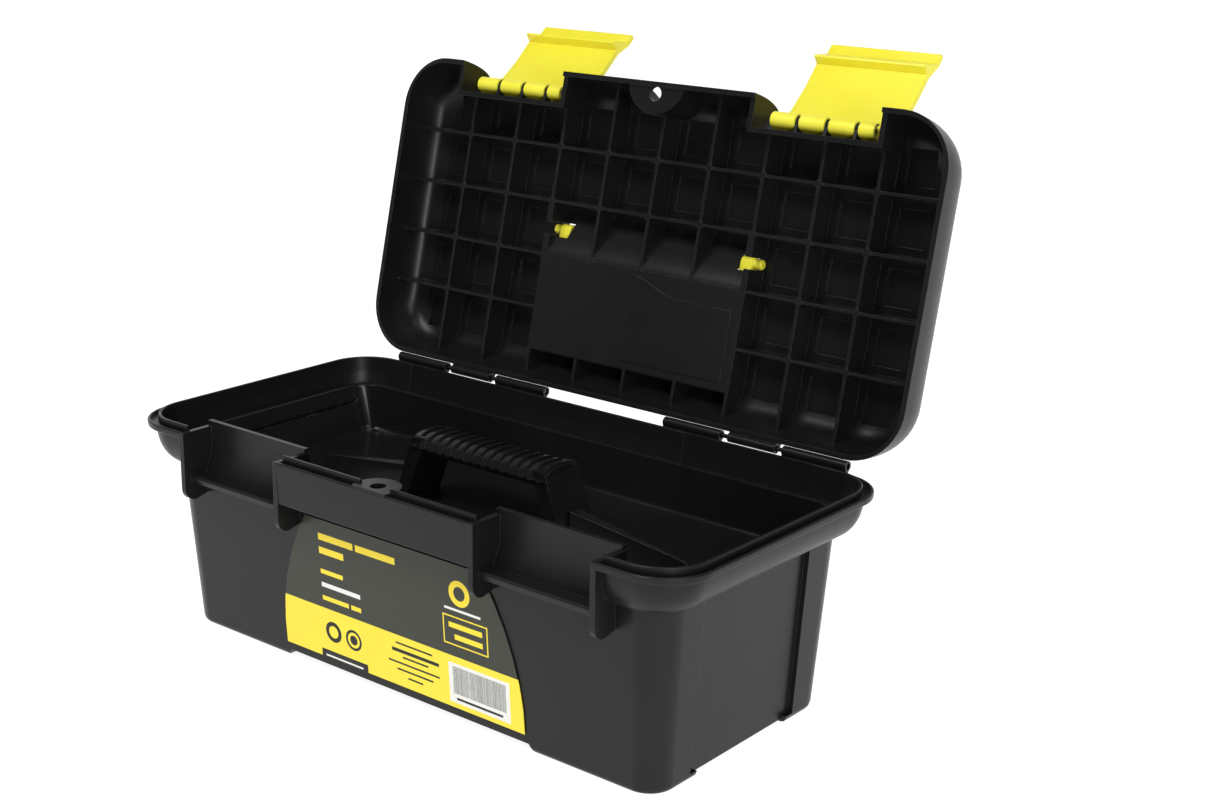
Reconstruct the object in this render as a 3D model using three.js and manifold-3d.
// A small plastic toolbox with a lift-out tray: tub, hinged lid, two snap latches,
// a folding carry handle, two hinge pins and a front label.
// Millimetres, +Z up, X along the length, the front faces -Y.
// The origin is under the middle of the tub, on the plane it stands on.
// The lid is modelled closed and then swung open on its hinge.

import * as THREE from 'three';
import { mergeVertices } from 'three/addons/utils/BufferGeometryUtils.js';
import Module from 'manifold-3d';

const wasm = await Module();
wasm.setup();

// ---------------------------------------------------------------- driving dimensions

const RIM_X = 125;            // half length over the rim
const RIM_Y = 60;             // half depth over the rim
const RIM_Z = 80;             // height of the rim
const LID_TOP_Z = 100;        // height over the closed lid
const RIM_CORNER = 18;        // corner radius of the rim
const BASE_X = 109.2;         // half length of the base
const BASE_Y = 46.7;          // half depth of the base
const SHOULDER_Z = 63.5;      // where the upright wall meets the flared skirt
const SHOULDER_X = 113.2;     // half length of the wall just under the skirt
const SHOULDER_Y = 50.6;      // half depth of the wall just under the skirt
const FLANGE_Z = 75.9;        // underside of the flange that stands out around the skirt
const LEDGE_Z = 67;           // inner ledge that carries the tray
const FOOT_LIFT = 2.7;        // how far the long edges between the feet are raised
const END_LIFT = 1.0;         // how far the end walls are raised between the feet
const PANEL_Y = 28.6;         // half width of the sunken panel in each end wall
const PANEL_DEPTH = 1.8;
const TOE_Y = 25;             // half distance between the toes of the feet

const HINGE_Y = 61.2;         // lid hinge axis
const HINGE_Z = 80.5;
const KNUCKLE_R = 1.8;        // outside radius of the hinge knuckles
const PIN_R = 0.8;            // hinge pin radius
const GAP = 0.3;              // running clearance between pieces
const LID_OPEN_DEG = 103.2;   // how far the lid leans back from closed

const LATCH_X = 69.75;        // middle of each latch bay
const BAY_HALF = 24.6;        // half width of the tub's latch bay between its brackets
const BRACKET_T = 2;          // thickness of the brackets beside the bays
const LATCH_Y = -51.3;        // latch pivot, lid closed
const LATCH_Z = 87.4;
const LATCH_OPEN_DEG = { left: 129.5, right: 124.2 };

const HANDLE_Z = 96.2;        // carry handle pivot height, lid closed
const HANDLE_HALF = 45.2;     // half width over the carry handle's legs
const STUB_END = 48.8;        // how far out the handle's stubs reach
const STUB_R = 1.9;

const BLACK = { color: 0x17181a, roughness: 0.38, metalness: 0 };
const BLACK_TRAY = { color: 0x131416, roughness: 0.3, metalness: 0 };
const YELLOW = { color: 0xf4e438, roughness: 0.45, metalness: 0 };
const STEEL = { color: 0x9a9da1, roughness: 0.3, metalness: 1 };
const LABEL = { color: 0x34352f, roughness: 0.5, metalness: 0 };

// ---------------------------------------------------------------- solids

// Turns a closed geometry into a manifold solid.
function solid(geometry) {
  const clean = geometry.index ? geometry.toNonIndexed() : geometry.clone();
  clean.deleteAttribute('normal');
  clean.deleteAttribute('uv');
  const merged = mergeVertices(clean, 1e-4);
  const vertProperties = new Float32Array(merged.attributes.position.array);
  const triVerts = new Uint32Array(merged.index.array);
  return new wasm.Manifold(new wasm.Mesh({ numProp: 3, vertProperties, triVerts }));
}

// Joins a list of solids into one.
const joined = (solids) => solids.reduce((all, next) => all.add(next));

// Turns a manifold solid back into a geometry.
function geometryOf(body) {
  const mesh = body.getMesh();
  const geometry = new THREE.BufferGeometry();
  geometry.setAttribute('position', new THREE.BufferAttribute(mesh.vertProperties, 3));
  geometry.setIndex(new THREE.BufferAttribute(mesh.triVerts, 1));
  return geometry;
}

// A box between two corners.
function box(x0, x1, y0, y1, z0, z1) {
  const geometry = new THREE.BoxGeometry(x1 - x0, y1 - y0, z1 - z0);
  geometry.translate((x0 + x1) / 2, (y0 + y1) / 2, (z0 + z1) / 2);
  return solid(geometry);
}

// A cylinder along X.
function rod(x0, x1, y, z, radius, sides = 20) {
  const geometry = new THREE.CylinderGeometry(radius, radius, x1 - x0, sides);
  geometry.rotateZ(Math.PI / 2);
  geometry.translate((x0 + x1) / 2, y, z);
  return solid(geometry);
}

// An outline of (y, z) points pushed along X from x0 to x1.
function prismX(x0, x1, outline) {
  const shape = new THREE.Shape(outline.map(([y, z]) => new THREE.Vector2(y, z)));
  const geometry = new THREE.ExtrudeGeometry(shape, { depth: x1 - x0, bevelEnabled: false });
  // (y, z, depth) becomes (x, y, z)
  geometry.applyMatrix4(new THREE.Matrix4().set(
    0, 0, 1, x0,
    1, 0, 0, 0,
    0, 1, 0, 0,
    0, 0, 0, 1,
  ));
  return solid(geometry);
}

// Points of an upright rounded rectangle, anticlockwise from above.
function roundedRectangle({ x, y, r, z, shift = 0 }, steps = 6) {
  const points = [];
  const corners = [[1, 1, 0], [-1, 1, 90], [-1, -1, 180], [1, -1, 270]];
  for (const [sx, sy, start] of corners) {
    for (let i = 0; i <= steps; i += 1) {
      const angle = THREE.MathUtils.degToRad(start + (90 * i) / steps);
      const px = sx * (x - r) + r * Math.cos(angle);
      const py = sy * (y - r) + r * Math.sin(angle) + shift;
      points.push([px, py, z]);
    }
  }
  return points;
}

// A closed solid through a stack of rounded rectangles, capped at both ends.
function loft(rings) {
  const loops = rings.map((ring) => roundedRectangle(ring));
  const count = loops[0].length;
  const positions = loops.flat(2);
  const index = [];
  for (let k = 0; k + 1 < loops.length; k += 1) {
    for (let i = 0; i < count; i += 1) {
      const j = (i + 1) % count;
      const a = k * count + i;
      const b = k * count + j;
      index.push(a, b, b + count, a, b + count, a + count);
    }
  }
  const last = (loops.length - 1) * count;
  for (let i = 1; i + 1 < count; i += 1) {
    index.push(0, i + 1, i);
    index.push(last, last + i, last + i + 1);
  }
  const geometry = new THREE.BufferGeometry();
  geometry.setAttribute('position', new THREE.Float32BufferAttribute(positions, 3));
  geometry.setIndex(index);
  return solid(geometry);
}

// A named mesh with its own material.
function piece(name, body, finish) {
  const mesh = new THREE.Mesh(geometryOf(body), new THREE.MeshStandardMaterial(finish));
  mesh.name = name;
  return mesh;
}

// ---------------------------------------------------------------- tub

// The flared skirt under the rim: a quarter ellipse from the shoulder out to the flange.
function skirtRings() {
  const rings = [];
  for (let i = 0; i <= 5; i += 1) {
    const t = (Math.PI / 2) * (i / 5);
    const out = Math.sin(t);
    rings.push({
      x: 114.4 + 7.8 * out,
      y: 51.3 + 6 * out,
      r: 12 + 4 * out,
      z: FLANGE_Z - (FLANGE_Z - SHOULDER_Z) * Math.cos(t),
    });
  }
  return rings;
}

function tubShell() {
  return loft([
    { x: BASE_X - 1.6, y: BASE_Y - 1.6, r: 8, z: 0 },
    { x: BASE_X - 0.5, y: BASE_Y - 0.5, r: 9.1, z: 0.7 },
    { x: BASE_X, y: BASE_Y, r: 9.6, z: 2 },
    { x: SHOULDER_X, y: SHOULDER_Y, r: 11.5, z: SHOULDER_Z },
    ...skirtRings(),
    // flange lip, groove and raised tongue
    { x: RIM_X - 0.5, y: RIM_Y - 0.5, r: RIM_CORNER - 0.5, z: FLANGE_Z + 0.2 },
    { x: RIM_X, y: RIM_Y, r: RIM_CORNER, z: FLANGE_Z + 0.9 },
    { x: RIM_X, y: RIM_Y, r: RIM_CORNER, z: 78.2 },
    { x: RIM_X - 0.4, y: RIM_Y - 0.4, r: RIM_CORNER - 0.4, z: 78.5 },
    { x: RIM_X - 1, y: RIM_Y - 1, r: RIM_CORNER - 1, z: 78.5 },
    { x: RIM_X - 1.2, y: RIM_Y - 1.2, r: RIM_CORNER - 1.2, z: 77.2 },
    { x: RIM_X - 2.9, y: RIM_Y - 3, r: RIM_CORNER - 1, z: 77.2 },
    { x: RIM_X - 3.1, y: RIM_Y - 3.2, r: RIM_CORNER - 1.2, z: RIM_Z + 0.2 },
    { x: RIM_X - 4.2, y: RIM_Y - 4.3, r: RIM_CORNER - 2.3, z: RIM_Z + 0.2 },
    // inside of the skirt, the ledge for the tray and the inner wall
    { x: RIM_X - 4.7, y: RIM_Y - 4.8, r: 15.2, z: 75 },
    { x: 119, y: 54.1, r: 14.3, z: 70 },
    { x: 117.4, y: 52.9, r: 12.6, z: LEDGE_Z },
    { x: 111.7, y: 48.9, r: 9.6, z: LEDGE_Z - 0.6 },
    { x: 111.5, y: 48.7, r: 9.5, z: LEDGE_Z - 2.5 },
    { x: 107.5, y: 45, r: 8, z: 5 },
    { x: 105, y: 42.5, r: 5.5, z: 2.2 },
  ]);
}

// The plates at both ends of each latch bay.
function bracket(x) {
  return prismX(x - BRACKET_T / 2, x + BRACKET_T / 2, [
    [-60, 78.4], [-60, 58], [-59.4, 55.4], [-57.6, 53.4], [-55.2, 52.8],
    [-49.2, 54.6], [-47.4, 58], [-45, 62], [-45, 78.4],
  ]);
}

// The upright wall at the back of a latch bay, with the catch ledge along its foot.
function bayWall(x) {
  return prismX(x - BAY_HALF - 0.8, x + BAY_HALF + 0.8, [
    [-47, 80.2], [-47.3, 69.6], [-50.4, 61.6], [-56.6, 62.2], [-57.2, 61.4],
    [-56.8, 59.6], [-51.2, 57], [-48.6, 56.6], [-48.7, 61], [-45.4, 69.6], [-45.2, 80.2],
  ]);
}

// What is cleared away in front of the wall of a latch bay.
function bayCut(x) {
  return prismX(x - BAY_HALF - 0.6, x + BAY_HALF + 0.6, [
    [-70, 60], [-49.2, 60], [-45.6, 66], [-43, 66], [-43, 90], [-70, 90],
  ]);
}

// Half-round padlock tab behind the rim at the middle of the front.
function padlockTab(y, z0, z1) {
  const tab = new THREE.CylinderGeometry(8.4, 8.4, z1 - z0, 28);
  tab.rotateX(Math.PI / 2);
  tab.translate(0, y, (z0 + z1) / 2);
  return solid(tab);
}

function padlockHole(y) {
  const hole = new THREE.CylinderGeometry(2.7, 2.7, 30, 24);
  hole.rotateX(Math.PI / 2);
  hole.translate(0, y, 80);
  return solid(hole);
}

const TUB_KNUCKLES = [[28.5, 53.5], [80, 106]];
const LID_KNUCKLE = [57, 77];

// A knuckle on the tub with the web that joins it to the flange.
function tubKnuckle(x0, x1) {
  const web = prismX(x0, x1, [
    [58.6, 76.4], [60.4, 77.4], [62.4, 79.2], [61.2, 82.2], [59.8, 81], [59.6, 78.4], [58.6, 78.4],
  ]);
  return rod(x0, x1, HINGE_Y, HINGE_Z, KNUCKLE_R).add(web);
}

// Mirrored pairs of x ranges, one on each side of the middle.
const bothSides = (ranges) => ranges.flatMap(([a, b]) => [[a, b], [-b, -a]]);

function tub() {
  const bays = [-LATCH_X, LATCH_X];
  let body = tubShell();
  for (const x of bays) body = body.subtract(bayCut(x));
  for (const x of bays) body = body.add(bayWall(x));
  for (const x of bays.flatMap((m) => [m - BAY_HALF, m + BAY_HALF])) body = body.add(bracket(x));

  // flat apron between the two bays
  const apronHalf = LATCH_X - BAY_HALF;
  body = body.add(prismX(-apronHalf, apronHalf, [
    [-60, 78.2], [-59.7, 63.6], [-58.2, 63.6], [-57.2, 70], [-57.2, 77], [-58.9, 78.2],
  ]));

  // tab for a padlock, where the tongue is interrupted
  body = body.subtract(box(-7, 7, -57.5, -50, RIM_Z - 0.8, RIM_Z + 1));
  const tab = padlockTab(-56, 76.6, RIM_Z - 0.8).intersect(box(-20, 20, -59.9, -40, 70, 90));
  body = body.add(tab).subtract(padlockHole(-55.2));

  // edges raised between the four feet, and the sunken end panels
  const lift = FOOT_LIFT;
  for (const s of [-1, 1]) {
    const edge = s < 0 ? [-60, -38] : [38, 60];
    body = body.subtract(box(-55, 58, edge[0], edge[1], -1, lift));
    const end = s < 0 ? [-125, -98] : [98, 125];
    body = body.subtract(box(end[0], end[1], -TOE_Y, TOE_Y, -1, END_LIFT));
  }
  body = body.add(box(-90, 90, -40, 40, 0, 2.2)).add(box(-106.2, 106.2, -43.6, 43.6, lift, 4.4));
  for (const s of [-1, 1]) {
    body = body.add(endSlab(s, -PANEL_Y - 2, PANEL_Y + 2, END_LIFT, 63, -3.2, -0.6));
    body = body.subtract(endSlab(s, -PANEL_Y, PANEL_Y, 2.2, 61.5, -PANEL_DEPTH, 30));
    body = body.subtract(endSlab(s, -TOE_Y, TOE_Y, -1, 3, -PANEL_DEPTH, 30));
    // the skirt's lower edge steps up above the panel
    body = body.subtract(endSlab(s, -PANEL_Y, PANEL_Y, 62, 65.2, 0.05, 30));
  }

  // shallow relief inside the back wall behind each hinge
  for (const [a, b] of bothSides([[41, 95]])) {
    body = body.subtract(prismX(a, b, [[50, 68], [53.7, 68], [54.45, 70], [55.5, 75], [55.9, 81], [50, 81]]));
  }

  for (const [a, b] of bothSides(TUB_KNUCKLES)) body = body.add(tubKnuckle(a, b));
  for (const [a, b] of bothSides([LID_KNUCKLE])) {
    body = body.subtract(rod(a - 1, b + 1, HINGE_Y, HINGE_Z, KNUCKLE_R + GAP));
  }
  return body.subtract(rod(-108, 108, HINGE_Y, HINGE_Z, PIN_R + GAP));
}

// A slab that follows the draft of an end wall, between two distances from its outer face.
function endSlab(side, y0, y1, z0, z1, inner, outer) {
  const slope = (SHOULDER_X - BASE_X) / (SHOULDER_Z - 2);
  const face = (z) => BASE_X + slope * (z - 2);
  const slab = prismX(y0, y1, [
    [face(z0) + inner, z0], [face(z0) + outer, z0], [face(z1) + outer, z1], [face(z1) + inner, z1],
  ]);
  return slab.rotate([0, 0, side < 0 ? 90 : -90]);
}

// ---------------------------------------------------------------- lid

const LID_OUTER = [
  { x: 124.1, y: 59.2, r: 20, z: 79.6 },
  { x: 123.7, y: 58.5, r: 19.8, z: 86 },
  { x: 122.7, y: 57.3, r: 19, z: 91.4 },
  { x: 120.9, y: 55.4, r: 17.6, z: 95.6 },
  { x: 118, y: 52.4, r: 15.4, z: 98.4 },
  { x: 113.4, y: 47.8, r: 11.4, z: LID_TOP_Z },
];

const lidOuter = () => loft(LID_OUTER);

function lidShell() {
  return loft([
    { x: 112, y: 46.5, r: 10, z: 98.2 },
    { x: 116.2, y: 50.6, r: 13.6, z: 96.9 },
    { x: 118.8, y: 53.4, r: 15.6, z: 94.6 },
    { x: 120.6, y: 55.1, r: 17, z: 91 },
    { x: 121.8, y: 56.6, r: 17.2, z: 86 },
    { x: 122.3, y: 57.4, r: 17, z: 79.6 },
    ...LID_OUTER,
  ]);
}

// Front edge of the lid in section, from the mating plane up and over to the top.
const LID_FRONT = [
  [-46, RIM_Z + 0.6], [-57.3, RIM_Z + 0.6], [-57.6, 79.6], [-59.1, 79.6], [-58.4, 86], [-57.2, 91.4], [-55.3, 95.6],
  [-52.3, 98.4], [-47.7, 99.95], [-46, 99.95],
];

const NOTCH_HALF = 25.75;      // half width of the lid's latch notch
const NOTCH_BACK = -47.4;        // front face of the wall behind it
const WALL = 1.8;

function lidNotch(x) {
  const cut = box(x - NOTCH_HALF, x + NOTCH_HALF, -70, NOTCH_BACK, 70, 110);
  const back = box(
    x - NOTCH_HALF - WALL, x + NOTCH_HALF + WALL, NOTCH_BACK, NOTCH_BACK + WALL, RIM_Z + 0.6, 99.4,
  );
  const cheeks = [-1, 1].map((s) => {
    const inner = x + s * NOTCH_HALF;
    const outer = x + s * (NOTCH_HALF + WALL);
    return prismX(Math.min(inner, outer), Math.max(inner, outer), LID_FRONT);
  });
  return { cut, walls: joined([back, ...cheeks]) };
}

const BARREL = [-21.15, 21.15];         // latch barrel, measured from the bay's middle
const LUGS = [-10.05, 2.05, 14.05];     // lugs that hold the latch rod
const LUG_HALF = 0.6;
const ROD_R = 1.4;

// Lugs and rod that a latch snaps onto.
function latchMount(x) {
  const lugs = LUGS.map((offset) => {
    const [a, b] = [x + offset - LUG_HALF, x + offset + LUG_HALF];
    const web = prismX(a, b, [
      [-46.8, LATCH_Z - 3.4], [-46.8, LATCH_Z + 1.6], [LATCH_Y + 0.4, LATCH_Z + 2.3],
      [LATCH_Y - 1, LATCH_Z], [LATCH_Y + 0.4, LATCH_Z - 2.3],
    ]);
    return web.add(rod(a, b, LATCH_Y, LATCH_Z, 2.4));
  });
  return joined([...lugs, rod(x + BARREL[0] + 1, x + BARREL[1] - 1, LATCH_Y, LATCH_Z, ROD_R)]);
}

// Stiffening ribs under the top panel.
function lidRibs() {
  const ribs = [];
  for (let i = -4; i <= 4; i += 1) ribs.push(box(i * 23.5 - 0.7, i * 23.5 + 0.7, -60, 60, 88.5, 99));
  for (let j = 0; j < 4; j += 1) {
    const y = -31.3 + 20.8 * j;
    ribs.push(box(-125, 125, y - 0.7, y + 0.7, 88.5, 99));
  }
  return joined(ribs);
}

const WELL_X = 45.8;           // half width of the handle well
const WELL_BACK = 46;
const WELL_FLOOR_Z = 88.5;     // the well's face inside the lid
const RAMP = [-9, 11];         // y range of the S-shaped ramp down to that face

// Height of the ramp's inner face, easing from the top panel down to the well's floor.
function rampZ(y) {
  const t = THREE.MathUtils.clamp((y - RAMP[0]) / (RAMP[1] - RAMP[0]), 0, 1);
  return 98.2 - (98.2 - WELL_FLOOR_Z) * t * t * (3 - 2 * t);
}

function lidWell() {
  const ramp = [];
  for (let y = RAMP[0]; y <= RAMP[1]; y += 2.5) ramp.push([y, rampZ(y)]);
  const block = prismX(-WELL_X - 2, WELL_X + 2, [
    [-10.5, 98.6], [WELL_BACK + 1.8, 98.6], [WELL_BACK + 1.8, WELL_FLOOR_Z], ...ramp.reverse(), [-10.5, 98.2],
  ]);
  const under = [];
  for (let y = 11.8; y >= 2.8; y -= 1.5) under.push([y, rampZ(y) + WALL]);
  const cavity = prismX(-WELL_X, WELL_X, [
    [2.8, 102], [WELL_BACK, 102], [WELL_BACK, WELL_FLOOR_Z + WALL], ...under,
  ]);
  // side plates, each with a slot for the handle's stub that opens into the lid
  const ends = [-1, 1].map((s) => {
    const span = (a, b) => (s < 0 ? [-b, -a] : [a, b]);
    const slab = (a, b, ...rest) => box(...span(a, b), ...rest);
    const seat = STUB_R + GAP;
    return {
      plate: slab(WELL_X, WELL_X + 2, -10.5, 14, WELL_FLOOR_Z, 98.6),
      hub: slab(39.6, WELL_X, -2.8, 3, 80, 102),
      slot: slab(WELL_X - 0.1, STUB_END + 0.6, -seat, seat, 80, HANDLE_Z)
        .add(rod(...span(WELL_X - 0.1, STUB_END + 0.6), 0, HANDLE_Z, seat)),
    };
  });
  return { block, cavity, ends };
}

// An upright bar with an elliptic section, behind the middle of the front edge.
function archBar(half, depth, z0, z1) {
  const bar = new THREE.CylinderGeometry(1, 1, z1 - z0, 32);
  bar.rotateX(Math.PI / 2);
  bar.scale(half, depth, 1);
  bar.translate(0, -59, (z0 + z1) / 2);
  return solid(bar);
}

function lid() {
  const inside = loft([
    { x: 113, y: 47.6, r: 10, z: 98.6 },
    { x: 116.6, y: 51, r: 13.8, z: 97 },
    { x: 119.2, y: 53.8, r: 15.8, z: 94.7 },
    { x: 121, y: 55.5, r: 17.2, z: 91.1 },
    { x: 122.2, y: 57, r: 17.4, z: 86 },
    { x: 122.7, y: 57.8, r: 17.2, z: 79.7 },
  ].reverse());
  const well = lidWell();
  let body = lidShell();
  body = body.add(lidRibs().intersect(inside));
  body = body.add(well.block);
  for (const end of well.ends) body = body.add(end.plate);
  body = body.subtract(well.cavity);
  for (const end of well.ends) body = body.subtract(end.hub).subtract(end.slot);

  for (const x of [-LATCH_X, LATCH_X]) {
    const notch = lidNotch(x);
    body = body.subtract(notch.cut).add(notch.walls).add(latchMount(x));
  }

  // arched padlock recess in the front, closed below by a pierced tab
  body = body.add(archBar(12.6, 11.4, RIM_Z + 0.6, 99).intersect(lidOuter()));
  body = body.subtract(archBar(11, 9.8, 82, 104)).subtract(padlockHole(-54.8));

  for (const [a, b] of bothSides([LID_KNUCKLE])) {
    const web = prismX(a, b, [[58, 79.9], [61, 79.6], [61.2, 82.2], [58, 84]]);
    body = body.add(web).add(rod(a, b, HINGE_Y, HINGE_Z, KNUCKLE_R));
  }
  for (const [a, b] of bothSides(TUB_KNUCKLES)) {
    body = body.subtract(rod(a - 1, b + 1, HINGE_Y, HINGE_Z, KNUCKLE_R + GAP));
  }
  return body.subtract(rod(-108, 108, HINGE_Y, HINGE_Z, PIN_R + GAP));
}

// ---------------------------------------------------------------- small pieces

// A latch hanging closed, seen in section about its pivot.
const LATCH_SECTION = [
  [-1.4, 2.6], [-3.7, 1.4], [-7.6, -2.4], [-9.2, -7.6], [-9.4, -22], [-8.6, -32.6],
  [-10.4, -39.2], [-10.2, -43.4], [-8.4, -43.6], [-8.6, -39.4],
  [-2.9, -33.6], [-3.1, -32.8], [-6.5, -32.4],
  [-7.5, -22], [-7.3, -10.4], [-5.4, -5.4], [-2, -2.1],
];

function latch(x) {
  const outline = LATCH_SECTION.map(([y, z]) => [LATCH_Y + y, LATCH_Z + z]);
  const plate = prismX(x - 22.7, x + 22.7, outline);
  const barrel = rod(x + BARREL[0], x + BARREL[1], LATCH_Y, LATCH_Z, 2.9, 24);
  const trimmed = [-1, 1].map((s) => {
    const edge = x + s * BARREL[1];
    const far = x + s * 24;
    return box(Math.min(edge, far), Math.max(edge, far), LATCH_Y - 5, LATCH_Y + 5, LATCH_Z - 4, LATCH_Z + 5);
  });
  let body = plate.add(barrel);
  for (const cut of trimmed) body = body.subtract(cut);
  for (const offset of LUGS) {
    const half = LUG_HALF + GAP;
    body = body.subtract(rod(x + offset - half, x + offset + half, LATCH_Y, LATCH_Z, 4.6));
  }
  // bore and the mouth that snaps over the rod
  body = body.subtract(rod(x - 23, x + 23, LATCH_Y, LATCH_Z, ROD_R + GAP));
  return body.subtract(box(x - 23, x + 23, LATCH_Y - 1.2, LATCH_Y + 1.2, LATCH_Z - 5, LATCH_Z));
}

// The folding bail that lies in the well on top of the lid.
function carryHandle() {
  const parts = [];
  for (const s of [-1, 1]) {
    const span = (a, b) => (s < 0 ? [-b, -a] : [a, b]);
    parts.push(prismX(...span(HANDLE_HALF - 5, HANDLE_HALF), [
      [-1.6, 94.4], [-2.35, 96.2], [-1.6, 98], [0, 98.5], [3.8, 98.6], [10, 99.3], [40, 99.4], [42, 98],
      [42, 93.4], [39, 91.6], [12, 91.6], [6, 92.8], [3, 93.9], [0, 93.9],
    ]));
    parts.push(rod(...span(HANDLE_HALF - 1, STUB_END), 0, HANDLE_Z, STUB_R));
  }
  parts.push(prismX(-HANDLE_HALF + 4, HANDLE_HALF - 4, [
    [31, 92.8], [29.6, 95.4], [31, 98.4], [34, 99.4], [40, 99.4], [42, 98], [42, 93.4], [39, 91.6], [34, 91.6],
  ]));
  return joined(parts);
}

// ---------------------------------------------------------------- tray

const TRAY_FLOOR_Z = 53.5;
const TRAY_RIM_Z = 71.5;
const TRAY_SHIFT = 2.2;        // the tray sits back from the latch bays

function trayPan() {
  const ring = (x, y, r, z) => ({ x, y, r, z, shift: TRAY_SHIFT });
  return loft([
    ring(107.2, 42.9, 6, TRAY_FLOOR_Z - 1.6),
    ring(108.6, 44.5, 7.4, TRAY_FLOOR_Z + 0.4),
    ring(110.3, 45.4, 8.4, 66.2),
    ring(112.4, 45.8, 9.2, TRAY_RIM_Z - 3.6),
    ring(113, 45.9, 9.4, LEDGE_Z + GAP),
    ring(114.6, 47, 10.4, LEDGE_Z + GAP),
    ring(114.9, 47, 10.6, TRAY_RIM_Z - 0.6),
    ring(114.3, 46.6, 10.2, TRAY_RIM_Z),
    ring(112.6, 45, 9, TRAY_RIM_Z),
    ring(111.6, 44.4, 8.6, TRAY_RIM_Z - 1),
    ring(107.5, 43.1, 6.6, TRAY_FLOOR_Z + 1.4),
    ring(106.4, 41.8, 5.2, TRAY_FLOOR_Z),
  ]);
}

const GRIP_HALF = 31.5;
const GRIP_TOP = 79.4;

// Sloping ridge beside the handle's leg, lower and narrower towards the end of the tray.
function scoopRidge(side) {
  const foot = TRAY_FLOOR_Z - 0.6;
  const positions = [
    [40.6, -8.6, foot], [40.6, 8.6, foot], [36.9, 2.4, 65], [36.9, -2.4, 65],
    [88, -1.2, foot], [88, 1.2, foot], [84, 0.4, 58.5], [84, -0.4, 58.5],
  ].map(([x, y, z]) => [side * x, y, z]);
  const quads = [[0, 3, 2, 1], [4, 5, 6, 7], [0, 1, 5, 4], [3, 7, 6, 2], [0, 4, 7, 3], [1, 2, 6, 5]];
  const index = quads.flatMap(([a, b, c, d]) => (side > 0 ? [a, b, c, a, c, d] : [a, c, b, a, d, c]));
  const geometry = new THREE.BufferGeometry();
  geometry.setAttribute('position', new THREE.Float32BufferAttribute(positions.flat(), 3));
  geometry.setIndex(index);
  return solid(geometry);
}

// Arch handle that stands on the tray floor.
function trayHandle() {
  const parts = [];
  for (const s of [-1, 1]) {
    const leg = new THREE.Shape([
      [27, GRIP_TOP - 6.6], [34.9, TRAY_FLOOR_Z + GAP], [39.6, TRAY_FLOOR_Z + GAP],
      [31.9, 76.4], [30, GRIP_TOP - 0.6], [26, GRIP_TOP - 0.6],
    ].map(([x, z]) => new THREE.Vector2(s * x, z)));
    const geometry = new THREE.ExtrudeGeometry(leg, { depth: 17.6, bevelEnabled: false });
    geometry.rotateX(Math.PI / 2);
    geometry.translate(0, 8.8, 0);
    parts.push(solid(geometry));
  }
  parts.push(prismX(-GRIP_HALF, GRIP_HALF, [
    [-9, 75.6], [-7.8, 77.6], [-4.6, 79.1], [0, GRIP_TOP], [4.6, 79.1], [7.8, 77.6], [9, 75.6],
    [8, 73.4], [-8, 73.4],
  ]));
  // finger ridges across the grip
  for (let i = 0; i < 15; i += 1) {
    const x = -GRIP_HALF + 2.2 + (i * (2 * GRIP_HALF - 4.4)) / 14;
    parts.push(prismX(x - 1, x + 1, [
      [-9.7, 75.4], [-8.3, 78.1], [-4.8, 79.8], [0, GRIP_TOP + 0.8], [4.8, 79.8], [8.3, 78.1], [9.7, 75.4],
    ]));
  }
  return joined(parts);
}

// ---------------------------------------------------------------- label

// A thin sticker on the drafted front wall.
function frontLabel() {
  const outline = new THREE.Shape();
  outline.moveTo(-41, 58.5);
  outline.quadraticCurveTo(-57.5, 33, -55.6, 6);
  outline.lineTo(57, 6);
  outline.quadraticCurveTo(57.5, 32, 41, 58.5);
  outline.closePath();
  const geometry = new THREE.ExtrudeGeometry(outline, { depth: 0.3, bevelEnabled: false, curveSegments: 6 });
  geometry.rotateX(Math.PI / 2);
  const draft = Math.atan((SHOULDER_Y - BASE_Y) / (SHOULDER_Z - 2));
  geometry.rotateX(draft);
  geometry.translate(0, -BASE_Y - GAP + 0.12, 0);
  return solid(geometry);
}

// ---------------------------------------------------------------- assembly

const toolbox = new THREE.Group();
toolbox.add(piece('tub', tub(), BLACK));
toolbox.add(piece('tray', joined([trayPan(), scoopRidge(-1), scoopRidge(1)]), BLACK_TRAY));
toolbox.add(piece('tray_handle', trayHandle(), BLACK_TRAY));
toolbox.add(piece('front_label', frontLabel(), LABEL));
for (const [side, s] of [['left', -1], ['right', 1]]) {
  const ends = [s * 29, s * 105.4].sort((a, b) => a - b);
  toolbox.add(piece(`hinge_pin_${side}`, rod(ends[0], ends[1], HINGE_Y, HINGE_Z, PIN_R, 14), STEEL));
}

// A group that turns its members about an axis along X.
function swung(parent, y, z, degrees) {
  const pivot = new THREE.Group();
  pivot.position.set(0, y, z);
  pivot.rotation.x = THREE.MathUtils.degToRad(degrees);
  parent.add(pivot);
  const members = new THREE.Group();
  members.position.set(0, -y, -z);
  pivot.add(members);
  return members;
}

const openLid = swung(toolbox, HINGE_Y, HINGE_Z, -LID_OPEN_DEG);
openLid.add(piece('lid', lid(), BLACK));
openLid.add(piece('carry_handle', carryHandle(), YELLOW));
for (const [side, s] of [['left', -1], ['right', 1]]) {
  const flipped = swung(openLid, LATCH_Y, LATCH_Z, -LATCH_OPEN_DEG[side]);
  flipped.add(piece(`latch_${side}`, latch(s * LATCH_X), YELLOW));
}

export default toolbox;
